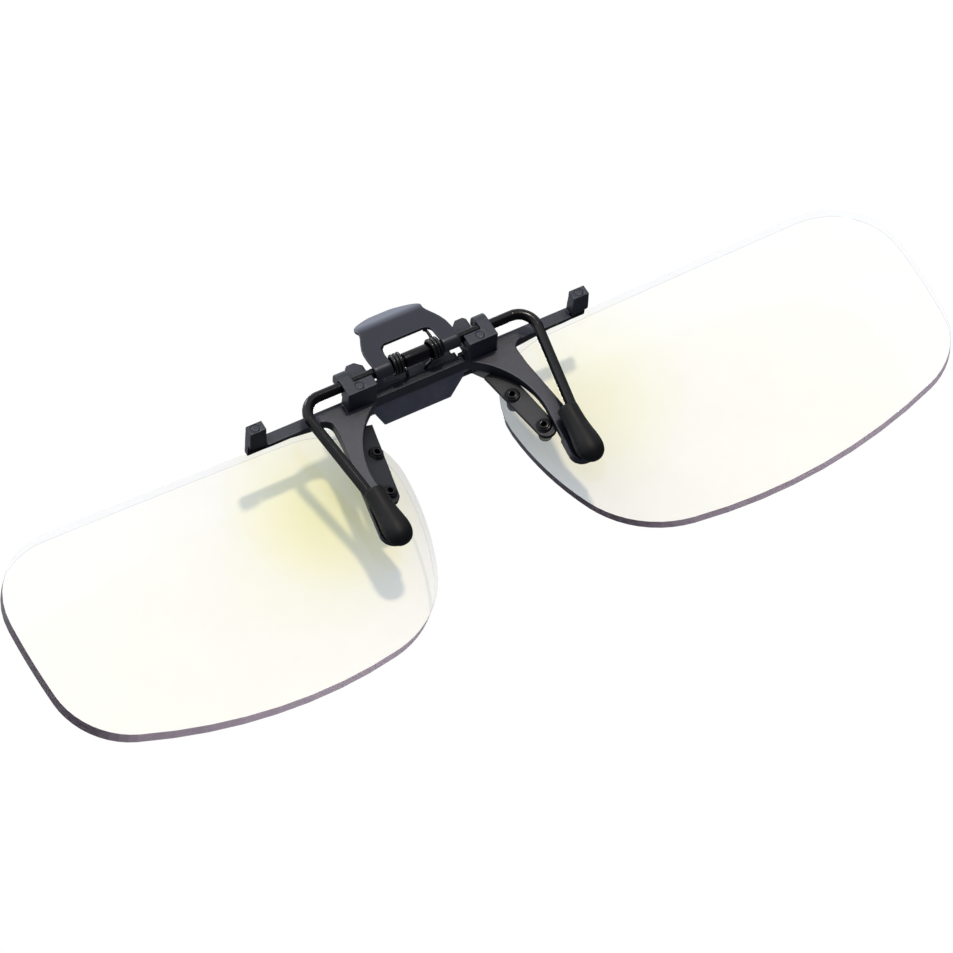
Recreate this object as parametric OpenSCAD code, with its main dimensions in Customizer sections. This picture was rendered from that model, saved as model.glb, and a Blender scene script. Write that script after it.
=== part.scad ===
// Flip-up lenses on a sprung spectacle clip.
// Z is up as worn, -Y faces away from the wearer, and the X axis is the clamp wire's axis.

/* [Clamp wire] */
// Diameter of the bent clamp wire
wire_d = 1.5; // [1.3:0.1:1.6]
// Half length of the wire's straight middle, out to the side bends
wire_half_span = 14.9; // [14.6:0.1:15.4]
// Centreline radius of the side bends
wire_bend_r = 2.6; // [2.2:0.1:3]
// Depth of the wire legs' ends below the wire's axis
wire_drop = 21.6; // [20.5:0.1:22]
// Distance of the wire legs' ends in front of the wire's axis
wire_lean = 2.8; // [2.7:0.05:2.9]
// Sideways distance of the wire legs' ends from the middle
wire_end_x = 14.7; // [14.4:0.1:15]

/* [Springs] */
// Diameter of the spring wire
spring_wire_d = 0.5; // [0.4:0.05:0.55]
// Mean diameter of the torsion springs
spring_d = 2.6; // [2.5:0.05:2.7]
// Turns in each torsion spring
spring_turns = 3; // [2:1:3]
// Outer diameter of the tube between the springs
tube_d = 2.1; // [1.9:0.1:2.2]
// Length of the tube between the springs
tube_len = 3.6; // [3:0.1:3.8]

/* [Thumb lever] */
// Thickness of the lever's sheet
lever_t = 0.5; // [0.4:0.05:0.6]
// Half width of the lever across its feet
lever_half_w = 6.5; // [6.3:0.1:6.6]
// Height of the lever's plate above the wire's axis
lever_h = 7.7; // [7:0.1:9]
// Length of the bent lip
lip_len = 3.3; // [2.4:0.1:3.6]
// Angle that the lip bends forward from the plate
lip_bend = 30; // [20:1:45]
// Angle that the plate leans forward
lever_lean = 12; // [8:1:13]
// Half width of the window
window_half_w = 3.9; // [3.7:0.1:4]
// Height of the window above the wire's axis
window_top = 3.1; // [2.8:0.1:4]

/* [Clip body] */
// Thickness of the body's plate
body_t = 2.1; // [1.9:0.1:2.1]
// Distance of the body's rear face in front of the wire's axis
body_setback = 2.8; // [2.7:0.05:2.9]
// Height of the side arms
arm_h = 1.8; // [1.6:0.1:2]
// Half span across the ends of the side arms
arm_half_span = 26.2; // [24:0.1:28]
// Width of the rest posts
post_w = 2.5; // [2.2:0.1:2.8]
// Distance of the rest posts' faces behind the wire's axis
post_reach = 0.8; // [0.5:0.1:1.2]
// Angle that the body's legs lean forward
leg_lean = 5; // [4:0.5:5]

/* [Lens hinge] */
// Diameter of the hinge pin
pin_d = 1.4; // [1.2:0.1:1.6]
// Distance of the hinge pin in front of the wire's axis
pin_forward = 8.1; // [8:0.05:8.2]
// Height of the hinge pin above the wire's axis
pin_up = 1; // [0.9:0.05:1.1]
// Diameter of the bracket's hinge barrel
barrel_d = 3.4; // [3.3:0.1:3.5]
// Thickness of the cover under the hinge
cover_t = 0.7; // [0.5:0.1:0.8]

/* [Lenses] */
// Thickness of the lenses
lens_t = 1.9; // [1.6:0.1:2.2]
// Angle that each lens turns back towards the temple
lens_wrap = 10.5; // [9:0.5:11]
// Angle that the lenses lean forward at the bottom
lens_lean = 3; // [2.5:0.5:3.5]
// Thickness of the bracket's legs
bracket_t = 0.7; // [0.5:0.1:0.8]
// Diameter of the rivets that hold the lenses
rivet_d = 1.2; // [1:0.1:1.3]

/* [Hidden] */
$fn = 48;

// Play between a turning shaft and its hole, and between parts that only come close
shaft_play = 0.05;
part_gap = 0.1;
// A cutter reaches this far past what it cuts
over = 1;

// The wire's bends are this much fatter, and its straight lengths run this far into them
bend_swell = 0.01;
bend_lap = 0.15;

wire_r = wire_d / 2;
wire_hole_r = wire_r + shaft_play;

// Side arms: top edge just under the wire's axis
arm_top = -0.35;
arm_bottom = arm_top - arm_h;
arm_t = 1.9;
body_front = -body_setback - body_t;

// Arch between the legs, and the legs' round ends
arch_x = 0.8;
arch_z = -13;
arch_r = 12.4;
leg_x = 14.6;
leg_z = -21;
leg_end_r = 2;
leg_top_z = -1;
leg_root_x = 6.5;

// Knuckles that hold the clamp wire
knuckle_in = 7.1;
knuckle_out = 11.5;
hook_in = 9.8;
tab_out = 9.4;
knuckle_rear = 0.95;
knuckle_bottom = -2.4;

// Hinge ears and barrel
ear_in = 5;
ear_out = 6.8;
barrel_half = ear_in - part_gap;
barrel_r = barrel_d / 2;
barrel_flat = barrel_r - 0.15;
pin_pos = [0, -pin_forward, pin_up];
crossbar_rear = -pin_forward - barrel_r - 0.2;
crossbar_t = 0.9;
crossbar_half = 12;
side_arm_w = 2.3;

// Cover under the hinge
cover_top = pin_up - barrel_r - 0.25;
cover_front = -10.8;
cover_half_front = 5.2;
cover_half_root = 7;
cover_root = -6.95;

// Frame of each lens: its origin is on the lens's rear face, at the rivets
seat = [11.4, -6, -12];
leg_lens_gap = 0.2;
rivet_spots = [[-0.7, 3.35], [0.65, -2.95]];
washer_r = 0.9;
washer_t = 0.25;
boss_t = 0.25;
bush_r = 0.95;

// Lens outline: each corner is [across, up, radius] from the rivets, then the side arcs' radii
lens_corners = [[15.1, -9.3, 16.4], [45.9, -14.8, 10.4], [45.8, -4, 11.1], [7.4, -0.3, 10.7]];
lens_side_r = [73, 109, 1900, 43];

// Springs' upper legs, which push the lever back from in front of it
spring_leg_lean = 16.5;
spring_leg_len = 3.3;

// Rubber tips
tip_r = 2;
tip_neck_r = 1.5;
tip_half_depth = 1.7;

// Points of an arc, from angle a0 to a1 around centre c
function arc(c, r, a0, a1, n = 16) =
    [for (i = [0 : n]) let (a = a0 + (a1 - a0) * i / n) c + r * [cos(a), sin(a)]];

// Centre of the large arc that touches two corner circles from outside
function side_centre(p, q, r) =
    let (d = norm([q.x - p.x, q.y - p.y]),
        u = [q.x - p.x, q.y - p.y] / d,
        e = r - p.z,
        f = r - q.z,
        s = (e * e - f * f + d * d) / (2 * d))
    [p.x, p.y] + s * u + sqrt(e * e - s * s) * [-u.y, u.x];

function angle_of(v) = atan2(v.y, v.x);
function after(a, b) = b < a ? b + 360 : b;

// Closed outline of corner circles joined by tangent side arcs, counter-clockwise
function rounded_outline(corners, radii) =
    let (n = len(corners),
        sides = [for (i = [0 : n - 1]) side_centre(corners[i], corners[(i + 1) % n], radii[i])])
    [for (i = [0 : n - 1])
        let (c = [corners[i].x, corners[i].y],
            a0 = angle_of(c - sides[(i + n - 1) % n]),
            a1 = after(a0, angle_of(c - sides[i])),
            next = corners[(i + 1) % n],
            a2 = after(a1, angle_of([next.x, next.y] - sides[i])))
        each concat(arc(c, corners[i].z, a0, a1, 10),
            arc(sides[i], radii[i], a1, a2, 8))];

// Draws its children on both sides of the middle
module both_sides() {
    children();
    mirror([1, 0, 0]) children();
}

// Extrudes an X-Z outline forward from y
module front_plate(y, t) {
    translate([0, y, 0]) rotate([90, 0, 0]) linear_extrude(t) children();
}

// Extrudes a Y-Z outline along X, from x0 to x1
module side_plate(x0, x1) {
    translate([x0, 0, 0]) rotate([90, 0, 90]) linear_extrude(x1 - x0) children();
}

// A cylinder along X, centred on the middle
module cross_rod(r, half, at = [0, 0, 0]) {
    translate(at) rotate([0, 90, 0]) cylinder(r = r, h = 2 * half, center = true);
}

// Puts its children in the frame of the +X lens: Y towards the wearer, Z up along the lens
module lens_frame() {
    translate(seat) rotate([-lens_lean, 0, lens_wrap]) children();
}

module leg_outline() {
    // The arch starts here, on its circle
    arch_top = arch_z + sqrt(pow(arch_r, 2) - pow(leg_root_x - arch_x, 2));
    start = angle_of([leg_root_x - arch_x, arch_top - arch_z]);
    crotch = [15.5, -3.5];
    crotch_r = 1.35;
    polygon(concat(
        [[leg_root_x, leg_top_z], [crotch.x, leg_top_z]],
        arc(crotch, crotch_r, 90, 180, 8),
        [[14.3, -6]],
        arc([leg_x, leg_z], leg_end_r, 0, -180, 20),
        arc([arch_x, arch_z], arch_r, 0, start, 16)));
}

// Room for the lens and the bracket's leg in front of the body's legs and under its arms
module room_for_lens() {
    lens_top = 10.6;
    notch_right = 2.5;
    notch_top = 8.5;
    lens_frame() {
        translate([-20, -20 + leg_lens_gap, -20]) cube([40, 20, 20 + lens_top]);
        translate([-20, -20 + bracket_t + part_gap, -6]) cube([20 + notch_right, 20, 6 + notch_top]);
    }
}

module leg() {
    translate([0, -body_setback, leg_top_z]) rotate([-leg_lean, 0, 0])
        translate([0, body_setback, -leg_top_z]) front_plate(-body_setback, body_t) leg_outline();
}

// Ring-shaped groove left by the mould, cut into a rear face
module moulding_mark(at) {
    mark_r = 0.7;
    groove = 0.18;
    depth = 0.14;
    translate(at - [0, depth, 0]) rotate([-90, 0, 0]) difference() {
        cylinder(r = mark_r, h = over);
        translate([0, 0, -over]) cylinder(r = mark_r - groove, h = 3 * over);
    }
}

// Rest post on the end of an arm, with drafted sides
module post() {
    draft = 0.12;
    x0 = arm_half_span - post_w;
    difference() {
        intersection() {
            translate([0, 0, arm_bottom - over]) linear_extrude(arm_h + 2 * over)
                polygon([[x0 - draft, body_front], [arm_half_span, body_front],
                    [arm_half_span - draft, post_reach], [x0, post_reach]]);
            side_plate(x0 - over, arm_half_span + over)
                polygon([[body_front, arm_bottom], [post_reach, arm_bottom + draft],
                    [post_reach, arm_top - draft], [body_front, arm_top]]);
        }
        moulding_mark([arm_half_span - post_w / 2, post_reach, (arm_top + arm_bottom) / 2]);
    }
}

// Knuckle that the clamp wire snaps into: a block, a hook behind the wire and a tab in front
module knuckle() {
    hook_r = 1.5;
    hook_top = 2.1;
    tab_top = 3.1;
    tab_rear = -0.45;
    tab_front = -2.3;
    slot_bottom = -0.25;
    difference() {
        union() {
            side_plate(knuckle_in, knuckle_out)
                polygon([[body_front, arm_bottom], [-body_setback, knuckle_bottom],
                    [knuckle_rear, knuckle_bottom], [knuckle_rear, -0.6], [-2, -0.45],
                    [-body_setback, arm_top], [body_front, arm_top]]);
            side_plate(hook_in, knuckle_out)
                polygon(concat([[-hook_r, knuckle_bottom], [knuckle_rear, knuckle_bottom]],
                    arc([knuckle_rear - hook_r, hook_top - hook_r + 0.2], hook_r, 0, 90, 8),
                    [[-hook_r, hook_top + 0.2]]));
            front_plate(tab_rear, tab_rear - tab_front)
                polygon([[knuckle_in - 0.2, arm_bottom], [tab_out, arm_bottom],
                    [tab_out, tab_top - 0.4], [tab_out - 0.4, tab_top],
                    [knuckle_in + 0.7, tab_top], [knuckle_in - 0.2, tab_top - 0.9]]);
        }
        translate([knuckle_in - over, 0, 0]) rotate([0, 90, 0])
            cylinder(r = wire_hole_r, h = knuckle_out - knuckle_in + 2 * over);
        // Mouth of the hook, narrower than the wire
        translate([tab_out, -3 * over, slot_bottom]) cube([3 * over, 3 * over, wire_r]);
        moulding_mark([(knuckle_in + knuckle_out) / 2, knuckle_rear, (arm_top + knuckle_bottom) / 2 - 0.1]);
    }
}

// Ear that holds one end of the hinge pin
module hinge_ear() {
    side_plate(ear_in, ear_out) {
        translate([-pin_forward, pin_up]) circle(r = barrel_r);
        translate([-pin_forward, cover_top + 0.05])
            square([pin_forward + body_front + over / 2, 0.9 - cover_top]);
    }
}

module clip_body() {
    bar_half = leg_root_x + 1;
    // The springs' feet press down on the bar, against a low wall between the hinge ears
    bar_top = -0.8;
    wall_back = 0.6;
    wall_t = 1.4;
    wall_half = (ear_in + ear_out) / 2;
    wall_bottom = -1.95;
    wall_top = 0.98;
    color([0.12, 0.12, 0.14]) difference() {
        union() {
            front_plate(-body_setback, body_t) translate([-bar_half, arm_bottom])
                square([2 * bar_half, bar_top - arm_bottom]);
            front_plate(-body_setback - wall_back, wall_t) translate([-wall_half, wall_bottom])
                square([2 * wall_half, wall_top - wall_bottom]);
            both_sides() {
                front_plate(body_front + arm_t, arm_t) translate([leg_root_x, arm_bottom])
                    square([arm_half_span - post_w - leg_root_x + 0.5, arm_h]);
                leg();
                post();
                knuckle();
                hinge_ear();
            }
        }
        cross_rod(pin_d / 2, ear_out + over, pin_pos);
        both_sides() room_for_lens();
    }
}

// Cover under the hinge: the thumb rests on it while the lever is pressed
module hinge_cover() {
    color([0.13, 0.13, 0.15]) translate([0, 0, cover_top - cover_t]) linear_extrude(cover_t)
        polygon([[-cover_half_root, body_front - part_gap], [-cover_half_root, cover_root],
            [-cover_half_front, cover_front], [cover_half_front, cover_front],
            [cover_half_root, cover_root], [cover_half_root, body_front - part_gap]]);
}

module hinge_pin() {
    color([0.75, 0.76, 0.78]) cross_rod(pin_d / 2, ear_out, pin_pos);
}

// Strip spring that bears on the barrel's flat and holds the lenses down or up
module detent_leaf() {
    leaf_t = 0.15;
    leaf_half_w = 3.4;
    crown = pin_up - barrel_flat - 0.02 - leaf_t;
    foot = cover_top + 0.02;
    reach = 1.9;
    color([0.7, 0.7, 0.72]) side_plate(-leaf_half_w, leaf_half_w)
        translate([-pin_forward, 0])
            polygon([[-reach, foot], [-reach + 0.3, foot], [0, crown], [reach - 0.3, foot],
                [reach, foot], [reach, foot + leaf_t], [reach - 0.3, foot + leaf_t],
                [0, crown + leaf_t], [0.3 - reach, foot + leaf_t], [-reach, foot + leaf_t]]);
}

// Outline of a bracket leg in the lens frame, across and up from the rivets
module bracket_leg_outline() {
    polygon(concat([[-2.6, 8], [0.45, 8.4], [2.2, -3.3]], arc([0.8, -3.3], 1.4, 0, -165, 14)));
}

module bracket_leg() {
    lens_frame() {
        front_plate(bracket_t, bracket_t) bracket_leg_outline();
        for (s = rivet_spots)
            translate([s.x, bracket_t, s.y]) rotate([-90, 0, 0]) cylinder(r = washer_r + 0.1, h = boss_t);
    }
}

module rivet_holes() {
    for (s = rivet_spots)
        translate([s.x, -lens_t - over, s.y]) rotate([-90, 0, 0])
            cylinder(d = rivet_d + 0.1, h = lens_t + bracket_t + 3 * over);
}

// Carrier of both lenses: a barrel on the hinge pin, a crossbar and a leg for each lens
module lens_bracket() {
    arm_z = pin_up - 0.4;
    arm_rear = -5.3;
    color([0.12, 0.12, 0.14]) difference() {
        union() {
            intersection() {
                cross_rod(barrel_r, barrel_half, pin_pos);
                // A flat faces the leaf both with the lenses down and with them up
                translate(pin_pos) cube([2 * barrel_half, 2 * barrel_flat, 2 * barrel_flat], center = true);
            }
            translate([-barrel_half, crossbar_rear - crossbar_t, arm_z])
                cube([2 * barrel_half, -crossbar_rear + crossbar_t - pin_forward - 0.9, 1.3]);
            translate([-crossbar_half, crossbar_rear - crossbar_t, arm_z])
                cube([2 * crossbar_half, crossbar_t, 1.6]);
            both_sides() {
                side_plate(crossbar_half - side_arm_w, crossbar_half)
                    polygon([[crossbar_rear - crossbar_t, arm_z + 1.6],
                        [crossbar_rear - crossbar_t, arm_z], [-6.6, -4.6], [arm_rear, -4.6],
                        [arm_rear, -3.2], [crossbar_rear + 0.6, arm_z + 1.6]]);
                bracket_leg();
            }
        }
        cross_rod(pin_d / 2 + shaft_play, barrel_half + over, pin_pos);
        both_sides() lens_frame() {
            rivet_holes();
            translate([-20, -20, -30]) cube([40, 20, 37.6]);
            front_plate(0, lens_t + over) offset(delta = 0.15) lens_outline();
        }
    }
}

module lens_outline() {
    polygon(rounded_outline(lens_corners, lens_side_r));
}

module lens(side) {
    color([0.97, 0.95, 0.86, 0.35]) mirror([side < 0 ? 1 : 0, 0, 0]) lens_frame() difference() {
        front_plate(0, lens_t) lens_outline();
        for (s = rivet_spots)
            translate([s.x, over, s.y]) rotate([90, 0, 0]) cylinder(r = bush_r, h = lens_t + 2 * over);
    }
}

// Places its children, drawn along +Z from a lens's rear face forward, at every rivet
module at_rivets() {
    both_sides() lens_frame() for (s = rivet_spots) translate([s.x, 0, s.y]) rotate([90, 0, 0]) children();
}

// Hollow rivets: a flared head on each side of the bracket and lens, and an open shank
module lens_rivets() {
    head_t = 0.2;
    rear = -bracket_t - boss_t - washer_t;
    color([0.1, 0.1, 0.11]) at_rivets() difference() {
        union() {
            translate([0, 0, rear - head_t]) cylinder(r = 0.7, h = head_t);
            translate([0, 0, rear - head_t]) cylinder(d = rivet_d, h = lens_t - rear + 2 * head_t);
            translate([0, 0, lens_t]) cylinder(r = bush_r, h = head_t);
        }
        translate([0, 0, rear - over]) cylinder(r = 0.38, h = lens_t - rear + 3 * over);
    }
}

module rivet_washers() {
    color([0.2, 0.2, 0.22]) at_rivets() translate([0, 0, -bracket_t - boss_t - washer_t]) difference() {
        cylinder(r = washer_r, h = washer_t);
        translate([0, 0, -over]) cylinder(d = rivet_d + 0.1, h = washer_t + 2 * over);
    }
}

// Soft bushes that keep the rivets from cracking the lenses
module lens_bushes() {
    color([0.85, 0.85, 0.82]) at_rivets() difference() {
        cylinder(r = bush_r, h = lens_t);
        translate([0, 0, -over]) cylinder(d = rivet_d, h = lens_t + 2 * over);
    }
}

// Leg of the clamp wire: bends down from the middle and leans in and forward to its end
module wire_leg() {
    corner = [wire_half_span, 0, 0];
    foot = [wire_end_x, -wire_lean, -wire_drop];
    // The leg's plane turns about the X axis, and in it the leg runs from the bend to the foot
    lean = atan2(wire_lean, wire_drop);
    length = norm([wire_lean, wire_drop]);
    bend_c = [corner.x, -wire_bend_r];
    away = [foot.x - bend_c.x, -length - bend_c.y];
    // Where the straight part leaves the bend
    leave = angle_of(away) + acos(wire_bend_r / norm(away));
    tangent = bend_c + wire_bend_r * [cos(leave), sin(leave)];
    down = [foot.x, -length] - tangent;
    rotate([-lean, 0, 0]) {
        translate([bend_c.x, 0, bend_c.y]) rotate([90, 0, 0]) rotate([0, 0, leave])
            rotate_extrude(angle = 90 - leave) translate([wire_bend_r, 0]) circle(r = wire_r + bend_swell);
        translate([tangent.x, 0, tangent.y]) rotate([0, atan2(down.x, down.y), 0])
            translate([0, 0, -bend_lap]) cylinder(r = wire_r, h = norm(down) + bend_lap);
    }
}

module clamp_wire() {
    color([0.07, 0.07, 0.08]) {
        cross_rod(wire_r, wire_half_span + bend_lap);
        both_sides() wire_leg();
    }
}

// Lever pressed by the thumb: a plate with a window, two feet rolled round the wire and a lip
module thumb_lever() {
    foot_r = wire_r + lever_t;
    foot_in = window_half_w + 0.2;
    shoulder = 1.2;
    top_half = 4.9;
    round_r = 5;
    round_up = lever_h - 3.4;
    lip_r = 9;
    color([0.2, 0.21, 0.24]) difference() {
        rotate([lever_lean, 0, 0]) union() {
            front_plate(foot_r, lever_t) difference() {
                polygon(concat([[-lever_half_w, 0], [lever_half_w, 0], [lever_half_w, shoulder]],
                    arc([lever_half_w - round_r, round_up], round_r, -6, 40, 8),
                    [[top_half, lever_h], [-top_half, lever_h]],
                    arc([round_r - lever_half_w, round_up], round_r, 140, 186, 8),
                    [[-lever_half_w, shoulder]]));
                translate([-window_half_w, -over]) square([2 * window_half_w, window_top + over]);
            }
            translate([0, foot_r, lever_h]) rotate([lip_bend, 0, 0]) front_plate(0, lever_t)
                intersection() {
                    translate([-top_half - 0.2, -0.2]) square([2 * top_half + 0.4, lip_len + 0.2]);
                    translate([0, lip_len - lip_r]) circle(r = lip_r, $fn = 96);
                }
            both_sides() translate([foot_in, 0, 0]) rotate([0, 90, 0])
                cylinder(r = foot_r, h = lever_half_w - foot_in);
        }
        cross_rod(wire_r, lever_half_w + over);
    }
}

// Torsion spring on the wire: closed turns, and a leg that leans on the front of the lever's plate
module torsion_spring(side) {
    pitch = 0.9 * spring_wire_d;
    r = spring_d / 2;
    first = tube_len / 2 + part_gap + spring_wire_d / 2;
    color([0.06, 0.06, 0.07]) {
        for (i = [0 : spring_turns - 1])
            translate([side * (first + i * pitch), 0, 0]) rotate([0, 90, 0])
                rotate_extrude() translate([r, 0]) circle(d = spring_wire_d, $fn = 16);
        translate([side * (first + (spring_turns - 1) * pitch), -r, 0]) rotate([-spring_leg_lean, 0, 0])
            cylinder(d = spring_wire_d, h = spring_leg_len, $fn = 16);
    }
}

module spring_tube() {
    color([0.1, 0.1, 0.11]) difference() {
        cross_rod(tube_d / 2, tube_len / 2);
        cross_rod(wire_hole_r, tube_len);
    }
}

// Soft tip pushed on a wire leg's end
module tip(side) {
    lean = atan2(wire_lean, wire_drop);
    color([0.05, 0.05, 0.05]) mirror([side < 0 ? 1 : 0, 0, 0])
        translate([wire_end_x, -wire_lean, -wire_drop]) rotate([-lean, 1.6, 0]) difference() {
            intersection() {
                rotate_extrude() intersection() {
                    polygon(concat(arc([0, -0.8], tip_r, -90, 0, 8), [[tip_r, 0.8], [tip_neck_r, 3.8],
                        [tip_neck_r, 5.8], [1.3, 6], [0, 6]]));
                    translate([0, -10]) square([10, 20]);
                }
                cube([10, 2 * tip_half_depth, 30], center = true);
            }
            cylinder(r = wire_r, h = 20);
        }
}

clip_body();
hinge_cover();
hinge_pin();
detent_leaf();
lens_bracket();
lens(1);  // left_lens
lens(-1);  // right_lens
lens_rivets();
rivet_washers();
lens_bushes();
clamp_wire();
thumb_lever();
torsion_spring(1);  // left_spring
torsion_spring(-1);  // right_spring
spring_tube();
tip(1);  // left_tip
tip(-1);  // right_tip
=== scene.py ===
"""Looks for the flip-up clip-on lenses: fine meshes, procedural materials, studio light and camera."""
import math

import bmesh
import bpy
from mathutils import Matrix, Vector

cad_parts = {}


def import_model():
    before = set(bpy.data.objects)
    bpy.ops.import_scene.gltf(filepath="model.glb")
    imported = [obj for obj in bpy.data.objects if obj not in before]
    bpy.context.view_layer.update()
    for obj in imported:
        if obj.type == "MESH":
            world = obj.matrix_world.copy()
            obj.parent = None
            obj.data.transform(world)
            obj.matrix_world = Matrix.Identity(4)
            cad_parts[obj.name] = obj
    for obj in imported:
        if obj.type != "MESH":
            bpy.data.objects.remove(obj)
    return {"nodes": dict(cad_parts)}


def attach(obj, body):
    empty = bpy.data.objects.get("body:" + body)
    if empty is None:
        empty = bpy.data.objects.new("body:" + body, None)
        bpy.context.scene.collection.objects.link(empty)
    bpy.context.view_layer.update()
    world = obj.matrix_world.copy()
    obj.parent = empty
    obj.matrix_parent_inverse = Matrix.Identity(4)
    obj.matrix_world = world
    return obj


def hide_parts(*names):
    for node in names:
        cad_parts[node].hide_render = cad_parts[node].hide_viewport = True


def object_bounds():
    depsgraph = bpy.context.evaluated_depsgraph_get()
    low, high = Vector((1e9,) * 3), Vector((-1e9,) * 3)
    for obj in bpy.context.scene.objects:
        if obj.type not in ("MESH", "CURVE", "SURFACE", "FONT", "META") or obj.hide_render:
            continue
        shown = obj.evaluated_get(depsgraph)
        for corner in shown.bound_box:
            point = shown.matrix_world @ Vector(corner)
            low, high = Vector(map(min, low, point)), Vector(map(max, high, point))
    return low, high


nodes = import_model()["nodes"]
cad_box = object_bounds()

MM = 0.001
SIDES = (("left", 1), ("right", -1))

# Sizes in millimetres that follow the CAD part
WIRE_R = 0.75
WIRE_END_X, WIRE_END_FORWARD, WIRE_END_DROP = 14.7, 2.8, 21.6
SPRING_R = 1.3
SPRING_WIRE_R = 0.25
LEVER_T = 0.5
LEVER_LEAN = math.radians(12)
LENS_WRAP = math.radians(10.5)
LENS_LEAN = math.radians(3)


# ---------------------------------------------------------------- node helpers
class Shader:
    """A material with short calls to add and join nodes."""

    def __init__(self, name):
        self.mat = bpy.data.materials.new(name)
        self.mat.use_nodes = True
        self.tree = self.mat.node_tree
        self.tree.nodes.clear()
        self.out = self.tree.nodes.new("ShaderNodeOutputMaterial")

    def node(self, kind, props=None, **inputs):
        n = self.tree.nodes.new("ShaderNode" + kind)
        for key, value in (props or {}).items():
            setattr(n, key, value)
        for key, value in inputs.items():
            self.feed(n, key.replace("_", " "), value)
        return n

    def feed(self, n, key, value):
        socket = n.inputs[int(key)] if key.isdigit() else n.inputs[key]
        if isinstance(value, bpy.types.NodeSocket):
            self.tree.links.new(value, socket)
        elif isinstance(value, tuple) and socket.type == "RGBA" and len(value) == 3:
            socket.default_value = value + (1.0,)
        else:
            socket.default_value = value

    def math(self, op, a, b=0.0, addend=0.0, clamp=False):
        n = self.node("Math", {"operation": op, "use_clamp": clamp})
        for index, value in enumerate((a, b, addend)):
            self.feed(n, str(index), value)
        return n.outputs[0]

    def vector_math(self, op, socket, fixed):
        """A number from a vector socket and a fixed vector."""
        n = self.node("VectorMath", {"operation": op})
        self.tree.links.new(socket, n.inputs[0])
        n.inputs[1].default_value = fixed
        return n.outputs["Value"]

    def axis(self, socket, name):
        """One axis of a vector socket."""
        n = self.node("SeparateXYZ")
        self.tree.links.new(socket, n.inputs[0])
        return n.outputs[name]

    def mix(self, fac, a, b):
        n = self.node("Mix", {"data_type": "RGBA"})
        self.feed(n, "0", fac)
        for index, value in ((6, a), (7, b)):
            if isinstance(value, bpy.types.NodeSocket):
                self.tree.links.new(value, n.inputs[index])
            else:
                n.inputs[index].default_value = value + (1.0,)
        return n.outputs[2]

    def mix_shader(self, fac, a, b):
        n = self.node("MixShader")
        self.feed(n, "0", fac)
        self.tree.links.new(a, n.inputs[1])
        self.tree.links.new(b, n.inputs[2])
        return n.outputs[0]

    def noise(self, size_mm, detail=3.0, rough=0.6):
        coords = self.node("TexCoord")
        n = self.node("TexNoise", Scale=1.0 / (size_mm * MM), Detail=detail, Roughness=rough)
        self.tree.links.new(coords.outputs["Object"], n.inputs["Vector"])
        return n.outputs["Fac"]

    def ramp(self, value, low, high):
        """0 to 1 as the value goes from low to high."""
        n = self.node("MapRange", {"clamp": True})
        for index, setting in enumerate((value, low, high)):
            self.feed(n, str(index), setting)
        return n.outputs[0]

    def edge(self, radius_mm, gain):
        """About 1 on edges and 0 on faces."""
        bevel = self.node("Bevel", {"samples": 4}, Radius=radius_mm * MM)
        plain = self.node("NewGeometry")
        dot = self.node("VectorMath", {"operation": "DOT_PRODUCT"})
        self.tree.links.new(bevel.outputs[0], dot.inputs[0])
        self.tree.links.new(plain.outputs["Normal"], dot.inputs[1])
        off = self.math("SUBTRACT", 1.0, dot.outputs["Value"])
        return self.math("MULTIPLY", off, gain, clamp=True)

    def surface(self, socket):
        self.tree.links.new(socket, self.out.inputs["Surface"])
        return self.mat


def moulded(name, dark, light, grain_mm, rough, bump, metallic=0.0, edge_highlight=0.0, gloss=0.5,
            glint=(1.0, 1.0, 1.0)):
    """Grained, mottled finish, with painted shade in its hollows and a painted highlight along its edges."""
    rough_spread, painted_shade_reach = 0.16, 2.5 * MM
    s = Shader(name)
    grain = s.noise(grain_mm, 4.0, 0.7)
    tone = s.mix(s.ramp(s.noise(2.5, 2.0), 0.3, 0.7), dark, light)
    tone = s.mix(s.ramp(grain, 0.5, 0.8), tone, tuple(1.9 * c for c in light))
    # Painted highlight: pale, noise-broken lines along the sharp edges
    if edge_highlight:
        edge_highlight_tone = tuple(min(1.0, 5.0 * c + 0.03) for c in light)
        edge_highlight_mask = s.math("MULTIPLY", s.edge(0.2, edge_highlight), s.ramp(s.noise(0.8), 0.3, 0.6))
        tone = s.mix(edge_highlight_mask, tone, edge_highlight_tone)
    # Painted shade: the colour darkens in hollows, creases and near other parts, found by an occlusion test
    painted_shade_ao = s.node("AmbientOcclusion", {"samples": 6}, Distance=painted_shade_reach)
    open_sky = s.ramp(painted_shade_ao.outputs["AO"], 0.1, 0.85)
    tone = s.mix(open_sky, tuple(0.25 * c for c in dark), tone)
    patchy_rough = s.math("MULTIPLY_ADD", s.ramp(grain, 0.25, 0.75), rough_spread,
                          rough - rough_spread / 2)
    relief = s.node("Bump", Strength=bump, Distance=0.03 * MM, Height=grain)
    shader = s.node("BsdfPrincipled", Base_Color=tone, Roughness=patchy_rough, Metallic=metallic,
                    Normal=relief.outputs[0])
    # Painted shade: the gloss is also turned down in the hollows
    s.feed(shader, "Specular IOR Level", s.math("MULTIPLY", open_sky, gloss))
    s.feed(shader, "Specular Tint", glint)
    return s.surface(shader.outputs[0])


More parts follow.
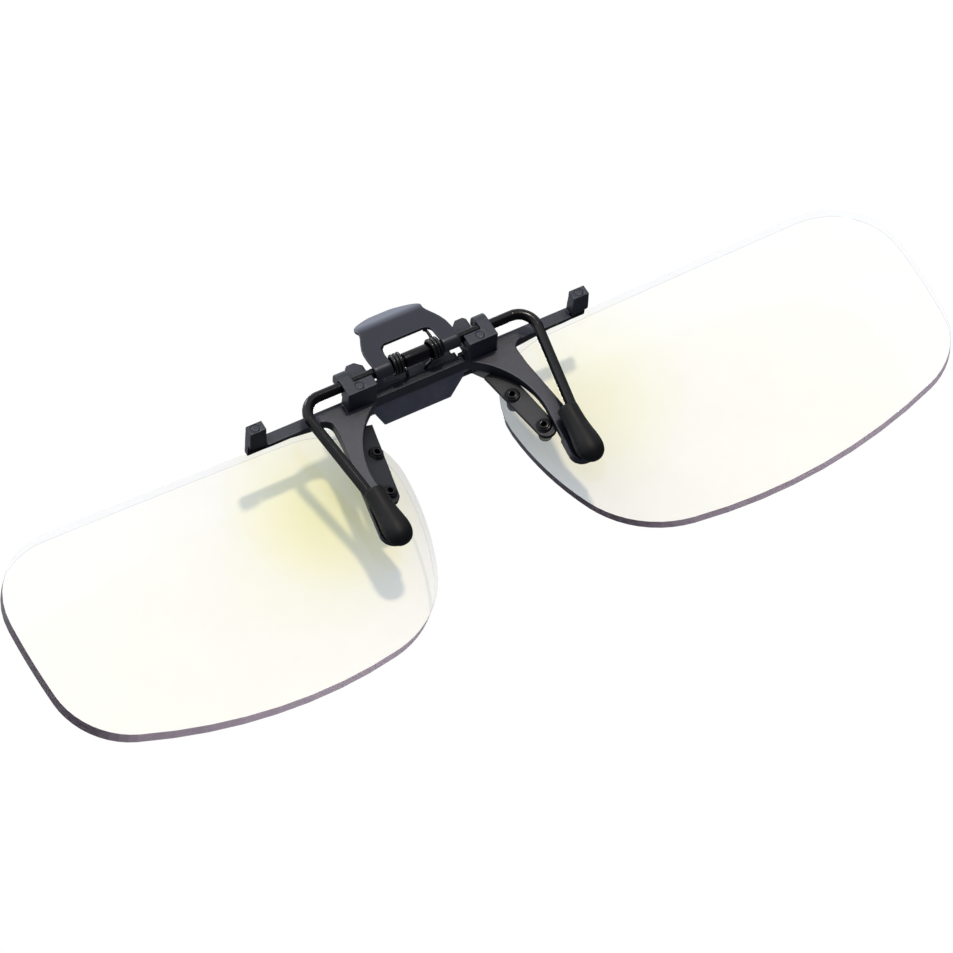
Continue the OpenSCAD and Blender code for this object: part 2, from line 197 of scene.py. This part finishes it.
def lever_finish():
    """Anodised dark sheet, with a painted paler blue reflection towards the lip, a painted highlight on its
    edges, and fine brushing across it.
    """
    s = Shader("lever_metal")
    place = s.node("TexCoord").outputs["Object"]
    # Painted reflection: the sheet turns paler and bluer towards the lip, where its bend faces the bright
    # room
    rise = s.ramp(s.axis(place, "Z"), 6.9 * MM, 8.6 * MM)
    tone = s.mix(rise, (0.030, 0.031, 0.041), (0.145, 0.157, 0.21))
    # Painted highlight along the sheet's edges
    tone = s.mix(s.math("MULTIPLY", s.edge(0.2, 2.0), 0.5), tone, (0.20, 0.22, 0.26))
    stretch = s.node("Mapping")
    stretch.inputs["Scale"].default_value = (0.06, 1.0, 1.0)
    s.tree.links.new(place, stretch.inputs[0])
    brush = s.node("TexNoise", Scale=1.0 / (0.12 * MM), Detail=3.0)
    s.tree.links.new(stretch.outputs[0], brush.inputs["Vector"])
    relief = s.node("Bump", Strength=0.25, Distance=0.01 * MM, Height=brush.outputs["Fac"])
    shader = s.node("BsdfPrincipled", Base_Color=tone, Metallic=0.55, Roughness=0.36,
                    Normal=relief.outputs[0])
    return s.surface(shader.outputs[0])


def lens_glass(name, side):
    """Thin-film coated filter: pale yellow through its faces, mauve where the ground edge shows, with a
    painted deeper yellow beside the clip and painted shade on the edge faces turned to +X.
    """
    s = Shader(name)
    turn = Matrix.Rotation(side * LENS_WRAP, 3, "Z") @ Matrix.Rotation(-LENS_LEAN, 3, "X")
    geometry = s.node("NewGeometry")
    # Normals are read in the lens's own space, so that the look turns with it
    own = s.node("VectorTransform", {"vector_type": "NORMAL", "convert_from": "WORLD",
                                     "convert_to": "OBJECT"})
    s.tree.links.new(geometry.outputs["True Normal"], own.inputs[0])
    normal = own.outputs[0]
    facing = s.math("ABSOLUTE", s.vector_math("DOT_PRODUCT", normal, turn @ Vector((0, 1, 0))))
    on_edge = s.math("LESS_THAN", facing, 0.75)
    outside = s.math("SUBTRACT", 1.0, geometry.outputs["Backfacing"])
    cloud = s.ramp(s.noise(9.0, 1.0), 0.3, 0.7)
    tint = s.mix(cloud, (0.991, 0.979, 0.934), (0.994, 0.983, 0.944))
    # Painted light: the yellow is deeper beside the clip, where the clip keeps the coating's blue reflection
    # off the lens, and more so in the left lens
    painted_patch_centre = Vector((side * 20, -4, -12)) * MM
    away = s.vector_math("DISTANCE", s.node("TexCoord").outputs["Object"], painted_patch_centre)
    painted_deep_yellow = (0.999, 0.983, 0.815) if side > 0 else (0.998, 0.984, 0.880)
    tint = s.mix(s.ramp(away, 15 * MM, 4 * MM), tint, painted_deep_yellow)
    clear = s.node("BsdfTransparent", Color=tint)
    gleam = s.mix(outside, (0.0, 0.0, 0.0), (0.012, 0.020, 0.045))
    sheen = s.node("BsdfGlossy", Color=gleam, Roughness=0.04)
    film = s.node("AddShader")
    s.tree.links.new(clear.outputs[0], film.inputs[0])
    s.tree.links.new(sheen.outputs[0], film.inputs[1])
    speck = s.ramp(s.noise(0.25, 3.0), 0.35, 0.7)
    ground = s.mix(speck, (0.30, 0.225, 0.28), (0.38, 0.30, 0.36))
    # Painted shade: the edge faces turned towards +X are much darker
    shaded_rim_side = s.ramp(s.axis(normal, "X"), -0.1, 0.7)
    ground = s.mix(shaded_rim_side, ground, (0.045, 0.034, 0.048))
    rim_clear = s.node("BsdfTransparent", Color=s.mix(shaded_rim_side, (0.66, 0.56, 0.64), (0.16, 0.13, 0.16)))
    rim_ground = s.node("BsdfPrincipled", Base_Color=ground, Roughness=0.3)
    rim = s.mix_shader(0.68, rim_clear.outputs[0], rim_ground.outputs[0])
    # Looked at from inside, the edge is clear and only its chamfer draws a fine grey line
    chamfer = s.math("GREATER_THAN", facing, 0.3)
    far_rim = s.node("BsdfTransparent", Color=s.mix(chamfer, (0.95, 0.95, 0.94), (0.60, 0.61, 0.66)))
    rim = s.mix_shader(outside, far_rim.outputs[0], rim)
    return s.surface(s.mix_shader(on_edge, film.outputs[0], rim))


MATERIALS = {
    "black_plastic": moulded("black_plastic", (0.0032, 0.0033, 0.0056), (0.0080, 0.0083, 0.0140),
                             0.18, 0.36, 1.0, edge_highlight=5.0, gloss=0.68, glint=(0.84, 0.87, 1.0)),
    # Painted shade: a darker copy of the black plastic, for the bracket that sits in the clip's shadow
    "bracket_shaded_black": moulded("bracket_shaded_black", (0.0018, 0.0019, 0.0028), (0.0045, 0.0047, 0.0065),
                             0.16, 0.34, 0.9, edge_highlight=5.0, gloss=0.50, glint=(0.90, 0.92, 1.0)),
    "cover_metal": moulded("cover_metal", (0.027, 0.027, 0.038), (0.044, 0.044, 0.060),
                           0.14, 0.40, 0.8, edge_highlight=4.0, gloss=0.6, glint=(0.90, 0.92, 1.0)),
    "black_metal": moulded("black_metal", (0.0015, 0.0013, 0.002), (0.003, 0.0026, 0.004),
                           0.30, 0.17, 0.15, gloss=0.28),
    "spring_metal": moulded("spring_metal", (0.003, 0.003, 0.004), (0.006, 0.006, 0.007),
                            0.20, 0.20, 0.2, gloss=0.45),
    "steel": moulded("steel", (0.42, 0.42, 0.43), (0.55, 0.55, 0.56), 0.12, 0.28, 0.15, metallic=1.0),
    "rubber": moulded("rubber", (0.0030, 0.0030, 0.0036), (0.0055, 0.0055, 0.0064), 0.09, 0.46, 0.55,
                      gloss=0.22),
    "nylon": moulded("nylon", (0.42, 0.42, 0.39), (0.52, 0.52, 0.48), 0.25, 0.45, 0.2),
    "lever_metal": lever_finish(),
    "left_glass": lens_glass("left_glass", 1),
    "right_glass": lens_glass("right_glass", -1),
}


def paint(obj, key):
    obj.data.materials.clear()
    obj.data.materials.append(MATERIALS[key])
    for polygon in obj.data.polygons:
        polygon.use_smooth = True


# ---------------------------------------------------------------- carried-over CAD nodes
def weld(obj):
    """Joins the carried-over mesh's split vertices."""
    m = obj.modifiers.new("weld", "WELD")
    m.merge_threshold = 0.002 * MM


def soften(obj, voxel_mm, rounds):
    """Moulded look: fine even mesh with every sharp edge slightly rounded."""
    weld(obj)
    remesh = obj.modifiers.new("remesh", "REMESH")
    remesh.mode = "VOXEL"
    remesh.voxel_size = voxel_mm * MM
    remesh.use_smooth_shade = True
    smooth = obj.modifiers.new("smooth", "SMOOTH")
    smooth.factor = 0.5
    smooth.iterations = rounds


def bevelled(obj, width_mm):
    """Machined look: a narrow bevel on sharp edges."""
    weld(obj)
    bevel = obj.modifiers.new("bevel", "BEVEL")
    bevel.width = width_mm * MM
    bevel.segments = 2
    bevel.limit_method = "ANGLE"
    bevel.angle_limit = math.radians(38)
    normals = obj.modifiers.new("normals", "WEIGHTED_NORMAL")
    normals.weight = 80


def dress_cad_nodes():
    paint(nodes["clip_body"], "black_plastic")
    soften(nodes["clip_body"], 0.07, 6)
    paint(nodes["lens_bracket"], "bracket_shaded_black")
    soften(nodes["lens_bracket"], 0.07, 5)
    paint(nodes["hinge_cover"], "cover_metal")
    bevelled(nodes["hinge_cover"], 0.14)
    for name in ("hinge_pin", "detent_leaf"):
        paint(nodes[name], "steel")
        bevelled(nodes[name], 0.03)
    for name in ("lens_rivets", "rivet_washers"):
        paint(nodes[name], "black_metal")
        bevelled(nodes[name], 0.05)
    paint(nodes["lens_bushes"], "nylon")
    bevelled(nodes["lens_bushes"], 0.04)
    for name in ("clamp_wire", "spring_tube"):
        paint(nodes[name], "black_metal")
        bevelled(nodes[name], 0.08)
    for name in ("left", "right"):
        paint(nodes[name + "_lens"], name + "_glass")
        bevelled(nodes[name + "_lens"], 0.18)


# ---------------------------------------------------------------- new pieces
def piece(name, verts, faces, body, key, slot, *replaced):
    """A mesh from points in millimetres, riding on a body and standing for CAD nodes."""
    mesh = bpy.data.meshes.new(name)
    mesh.from_pydata([Vector(v) * MM for v in verts], [], faces)
    mesh.validate()
    obj = bpy.data.objects.new(name, mesh)
    bpy.context.scene.collection.objects.link(obj)
    bm = bmesh.new()
    bm.from_mesh(mesh)
    bmesh.ops.recalc_face_normals(bm, faces=bm.faces)
    bm.to_mesh(mesh)
    bm.free()
    paint(obj, key)
    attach(obj, body)
    if replaced:
        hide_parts(*replaced)
    return obj


def swept_tube(path, radius, ring=12):
    """Closed tube along a path, with rounded ends, as (verts, faces)."""
    points = [Vector(p) for p in path]
    verts, faces = [], []
    tangent = (points[1] - points[0]).normalized()
    side = tangent.orthogonal().normalized()
    for i, p in enumerate(points):
        ahead = points[min(i + 1, len(points) - 1)]
        behind = points[max(i - 1, 0)]
        tangent = (ahead - behind).normalized()
        side = (side - tangent * side.dot(tangent)).normalized()
        up = tangent.cross(side)
        for k in range(ring):
            a = 2 * math.pi * k / ring
            verts.append(p + radius * (math.cos(a) * side + math.sin(a) * up))
    last = (len(points) - 1) * ring
    for i in range(len(points) - 1):
        for k in range(ring):
            a, b = i * ring + k, i * ring + (k + 1) % ring
            faces.append((a, b, b + ring, a + ring))
    ends = ((0, points[0] - points[1]), (last, points[-1] - points[-2]))
    for start, outward in ends:
        centre = sum((Vector(verts[start + k]) for k in range(ring)), Vector()) / ring
        verts.append(centre + outward.normalized() * radius * 0.6)
        pole = len(verts) - 1
        faces += [(start + k, start + (k + 1) % ring, pole) for k in range(ring)]
    return verts, faces


def springs():
    """Torsion springs: a closed coil whose foot rests on the body, and a leg the lever winds up."""
    turns, steps, pitch, inner_x = 3.15, 26, 0.5, 2.06
    foot = math.radians(256)
    count = round(turns * steps)
    # The leg brings the coil's last steps with it, and they slide into the coil as it winds up
    fixed = count - 3
    for name, side in SIDES:
        coil = []
        for i in range(count + 1):
            a = foot - 2 * math.pi * i / steps
            x = inner_x + pitch * i / steps
            coil.append(Vector((side * x, SPRING_R * math.cos(a), SPRING_R * math.sin(a))))
        # The inner end runs forward, towards the middle, to press on the body's bar
        rest = [Vector((side * 1.35, -3.15, -0.53)), Vector((side * 1.5, -2.4, -0.57)),
                Vector((side * 1.8, -1.3, -1.05))]
        verts, faces = swept_tube(rest + coil[:fixed + 1], SPRING_WIRE_R)
        spring = piece(name + "_coil_spring", verts, faces, "clip", "spring_metal", "black_metal")
        smooth_subdivide(spring, 1)
        # The outer end rises and leans back on the lever, and its tip hooks inwards
        end, ahead = coil[-1], (coil[-1] - coil[-2]).normalized()
        top = Vector((end.x, -0.32, 3.35))
        leg = [end + ahead * 0.4, end.lerp(top, 0.5), top, top + Vector((-side * 0.5, 0.02, 0.15))]
        verts, faces = swept_tube(coil[fixed - 1:] + leg, 0.97 * SPRING_WIRE_R)
        spring = piece(name + "_spring_leg", verts, faces, "clamp", "spring_metal", "black_metal",
                       name + "_spring")
        smooth_subdivide(spring, 1)


def smooth_subdivide(obj, levels):
    m = obj.modifiers.new("subdivision", "SUBSURF")
    m.levels = levels
    m.render_levels = levels


def along(table, s):
    """Value at s on straight lines through (s, value) points."""
    for (s0, v0), (s1, v1) in zip(table, table[1:]):
        if s <= s1:
            return v0 + (v1 - v0) * max(0.0, s - s0) / (s1 - s0)
    return table[-1][1]


def lever_profile():
    """Rows of (y, z, s): the sheet's middle from under the wire, up the plate and over the lip."""
    mid_r = WIRE_R + LEVER_T / 2
    plate_h, bend_r, bend, lip = 6.4, 4.0, math.radians(29), 2.6
    roll = math.radians(118)
    rows = []
    for i in range(13):
        a = -roll + roll * i / 12
        rows.append((mid_r * math.cos(a), mid_r * math.sin(a), -1.0))
    curved = bend_r * bend
    total = plate_h + curved + lip
    for i in range(1, 73):
        s = total * i / 72
        a = min(max(s - plate_h, 0.0) / bend_r, bend)
        past = max(s - plate_h - curved, 0.0)
        y = mid_r - bend_r * (1 - math.cos(a)) - past * math.sin(bend)
        z = min(s, plate_h) + bend_r * math.sin(a) + past * math.cos(bend)
        rows.append((y, z, s))
    return rows, total


def thumb_lever():
    """One bent sheet: feet rolled under the wire, a plate with a window and a lip curved forward."""
    rows, total = lever_profile()
    window_w, window_h, corner = 3.9, 3.1, 0.9
    # Distance up the sheet, and half width there
    outline = [(-1, 6.5), (1.8, 6.5), (3.0, 6.4), (4.0, 6.15), (4.9, 5.8), (5.7, 5.42), (6.4, 5.12),
               (6.9, 5.0), (7.3, 5.08), (7.7, 5.15), (8.1, 5.1), (8.6, 4.92), (9.1, 4.6),
               (9.6, 4.12), (10.1, 3.45), (10.5, 2.75), (total - 0.15, 1.8), (total, 0.6)]

    def inner(s):
        """Half width of the window at s, with round upper corners."""
        rise = min(max(s - window_h + corner, 0.0), corner)
        return window_w - corner + math.sqrt(corner ** 2 - rise ** 2)

    side_cols, mid_cols = 6, 12
    verts, faces, index = [], [], {}
    for r, (y, z, s) in enumerate(rows):
        w = along(outline, s)
        g = min(inner(s), 0.55 * w) if s > 6 else inner(s)
        columns = [-w + (w - g) * c / side_cols for c in range(side_cols + 1)]
        middle = [-g + 2 * g * c / mid_cols for c in range(1, mid_cols)]
        columns += middle if s >= window_h else [None] * (mid_cols - 1)
        columns += [g + (w - g) * c / side_cols for c in range(side_cols + 1)]
        for c, x in enumerate(columns):
            if x is not None:
                index[r, c] = len(verts)
                verts.append((x, y, z))
    for r in range(len(rows) - 1):
        for c in range(2 * side_cols + mid_cols):
            quad = [(r, c), (r, c + 1), (r + 1, c + 1), (r + 1, c)]
            if all(q in index for q in quad):
                faces.append(tuple(index[q] for q in quad))
    lean = Matrix.Rotation(LEVER_LEAN, 3, "X")
    verts = [lean @ Vector(v) for v in verts]
    lever = piece("bent_thumb_lever", verts, faces, "clamp", "lever_metal", "lever_metal", "thumb_lever")
    solid = lever.modifiers.new("thickness", "SOLIDIFY")
    solid.thickness = LEVER_T * MM
    solid.offset = 0
    bevel = lever.modifiers.new("bevel", "BEVEL")
    bevel.width = 0.12 * MM
    bevel.segments = 2
    bevel.limit_method = "ANGLE"
    bevel.angle_limit = math.radians(60)
    bevel.use_clamp_overlap = False
    normals = lever.modifiers.new("normals", "WEIGHTED_NORMAL")
    normals.weight = 70


def rubber_tips():
    """Sleeves on the wire's ends: a crisp collar, a slim neck and a flattened round bulb."""
    # Height above the wire's end, radius, and depth as a share of the radius
    profile = [(-2.78, 0.0, 0.85), (-2.76, 0.35, 0.85), (-2.64, 0.80, 0.85), (-2.35, 1.25, 0.84),
               (-1.9, 1.62, 0.83), (-1.3, 1.87, 0.83), (-0.5, 1.98, 0.83), (0.3, 1.94, 0.84),
               (1.2, 1.80, 0.87), (2.2, 1.64, 0.91), (3.2, 1.53, 0.95), (4.2, 1.49, 0.98),
               (5.2, 1.48, 1.0), (5.80, 1.48, 1.0), (5.95, 1.43, 1.0), (6.0, 1.30, 1.0),
               (6.0, 1.0, 1.0), (5.92, 0.84, 1.0), (5.5, 0.80, 1.0)]
    ring = 40
    lean = math.atan2(WIRE_END_FORWARD, WIRE_END_DROP)
    splay = math.radians(1.6)
    for name, side in SIDES:
        place = Matrix.Translation((side * WIRE_END_X, -WIRE_END_FORWARD, -WIRE_END_DROP))
        place = place @ Matrix.Rotation(-lean, 4, "X") @ Matrix.Rotation(side * splay, 4, "Y")
        verts, faces = [], []
        for z, r, depth in profile:
            for k in range(ring):
                a = 2 * math.pi * k / ring
                verts.append(place @ Vector((r * math.cos(a), depth * r * math.sin(a), z)))
        for i in range(len(profile) - 1):
            for k in range(ring):
                a, b = i * ring + k, i * ring + (k + 1) % ring
                faces.append((a, b, b + ring, a + ring))
        tip = piece(name + "_rubber_tip", verts, faces, "clamp", "rubber", "rubber", name + "_tip")
        bm = bmesh.new()
        bm.from_mesh(tip.data)
        bmesh.ops.remove_doubles(bm, verts=bm.verts, dist=0.001 * MM)
        bm.to_mesh(tip.data)
        bm.free()
        smooth_subdivide(tip, 1)


# ---------------------------------------------------------------- stage
def flat(name, centre, across, up, half):
    """A square plane that the camera sees and that leaves the object's light alone."""
    mesh = bpy.data.meshes.new(name)
    c, a, u = Vector(centre), Vector(across) * half, Vector(up) * half
    mesh.from_pydata([c - a - u, c + a - u, c + a + u, c - a + u], [], [(0, 1, 2, 3)])
    obj = bpy.data.objects.new(name, mesh)
    bpy.context.scene.collection.objects.link(obj)
    for flag in ("visible_diffuse", "visible_glossy", "visible_transmission", "visible_shadow"):
        setattr(obj, flag, False)
    return obj


def stage_paint(name, from_above, color):
    """Pale paper, seen only from above, or only from behind, below and through a lens."""
    s = Shader(name)
    to_eye = s.node("NewGeometry").outputs["Incoming"]
    fleck = s.ramp(s.noise(3.0, 4.0), 0.3, 0.7)
    paper = s.node("BsdfDiffuse", Color=s.mix(fleck, color, tuple(0.985 * c for c in color)))
    clear = s.node("BsdfTransparent", Color=(1.0, 1.0, 1.0))
    if from_above:
        shown = s.math("GREATER_THAN", s.axis(to_eye, "Z"), 0.0)
    else:
        path = s.node("LightPath")
        below = s.math("LESS_THAN", s.axis(to_eye, "Z"), -0.05)
        behind = s.math("GREATER_THAN", s.axis(to_eye, "Y"), 0.2)
        through = s.math("GREATER_THAN", path.outputs["Transparent Depth"], 1.5)
        shown = s.math("MULTIPLY", s.math("MULTIPLY", below, behind), through)
    return s.surface(s.mix_shader(shown, clear.outputs[0], paper.outputs[0]))


def stage():
    """A floor just under the object, and an upright paper in front of it where its shadow falls."""
    floor_drop, floor_half = 1 * MM, 3.0
    paper_forward, paper_half = 14 * MM, 0.4
    floor = flat("floor", (0, 0, cad_box[0][2] - floor_drop), (1, 0, 0), (0, 1, 0), floor_half)
    floor.data.materials.append(stage_paint("floor_paper", True, (0.93, 0.89, 0.82)))
    paper = flat("paper", (0, -paper_forward, 0), (1, 0, 0), (0, 0, 1), paper_half)
    paper.data.materials.append(stage_paint("table_paper", False, (0.96, 0.96, 0.96)))


def sun(name, direction, strength, angle, color):
    data = bpy.data.lights.new(name, "SUN")
    data.energy = strength
    data.angle = math.radians(angle)
    data.color = color
    lamp = bpy.data.objects.new(name, data)
    lamp.rotation_euler = Vector(direction).to_track_quat("Z", "Y").to_euler()
    bpy.context.scene.collection.objects.link(lamp)


def world():
    """White to the camera, an even pale sky to matt surfaces, and a bright-topped room to glossy ones."""
    scene = bpy.context.scene
    scene.world = bpy.data.worlds.new("studio")
    scene.world.use_nodes = True
    tree = scene.world.node_tree
    tree.nodes.clear()

    def add(kind, **props):
        n = tree.nodes.new("ShaderNode" + kind)
        for key, value in props.items():
            setattr(n, key, value)
        return n

    def background(color, strength):
        n = add("Background")
        n.inputs["Color"].default_value = color + (1.0,)
        n.inputs["Strength"].default_value = strength
        return n

    path, coords = add("LightPath"), add("TexCoord")
    dot = add("VectorMath", operation="DOT_PRODUCT")
    dot.inputs[1].default_value = Vector((0.15, 0.45, 0.88)).normalized()
    tree.links.new(coords.outputs["Generated"], dot.inputs[0])
    level = add("MapRange", interpolation_type="SMOOTHSTEP")
    for index, value in ((1, -0.15), (2, 0.55), (3, 0.07), (4, 1.0)):
        level.inputs[index].default_value = value
    tree.links.new(dot.outputs["Value"], level.inputs[0])
    room = background((0.93, 0.96, 1.0), 1.0)
    tree.links.new(level.outputs[0], room.inputs["Strength"])
    sky, white = background((0.585, 0.635, 0.735), 1.0), background((1.0, 1.0, 1.0), 1.0)
    gloss, eye, out = add("MixShader"), add("MixShader"), add("OutputWorld")
    for target, ray, low, high in ((gloss, "Is Glossy Ray", sky, room), (eye, "Is Camera Ray", gloss, white)):
        tree.links.new(path.outputs[ray], target.inputs[0])
        tree.links.new(low.outputs[0], target.inputs[1])
        tree.links.new(high.outputs[0], target.inputs[2])
    tree.links.new(eye.outputs[0], out.inputs[0])


def lights():
    world()
    sun("key", (-0.134, 1.0, 0.107), 1.15, 4.5, (1.0, 0.90, 0.76))
    sun("top", (0.25, 0.25, 1.0), 0.7, 14, (0.97, 0.98, 1.0))
    sun("wide", (0.5, 0.7, 0.6), 0.4, 45, (0.95, 0.97, 1.0))
    sun("front", (-0.35, -1.0, 0.6), 0.6, 12, (1.0, 1.0, 1.0))
    bpy.context.scene.view_settings.view_transform = "Standard"
    bpy.context.scene.view_settings.look = "None"


def camera():
    """Long lens, behind and below the clip, rolled with the object's slant."""
    azimuth, elevation, roll = 159.29, -28.27, 33.63
    distance_mm, lens_mm, sensor_mm = 486.2, 135.6, 36.0
    aim = Vector((-1.03, -8.82, -16.02))
    az, el, turn = (math.radians(v) for v in (azimuth, elevation, roll))
    back = Vector((math.sin(az) * math.cos(el), -math.cos(az) * math.cos(el), math.sin(el)))
    level = Vector((math.cos(az), math.sin(az), 0))
    rise = back.cross(level)
    right = math.cos(turn) * level - math.sin(turn) * rise
    up = math.sin(turn) * level + math.cos(turn) * rise
    data = bpy.data.cameras.new("camera")
    data.lens = lens_mm
    data.sensor_width = sensor_mm
    data.clip_start = 0.01
    data.clip_end = 20
    cam = bpy.data.objects.new("camera", data)
    pose = Matrix((right, up, back)).transposed().to_4x4()
    pose.translation = (aim + back * distance_mm) * MM
    cam.matrix_world = pose
    bpy.context.scene.collection.objects.link(cam)
    bpy.context.scene.camera = cam


dress_cad_nodes()
springs()
thumb_lever()
rubber_tips()
stage()
lights()
camera()
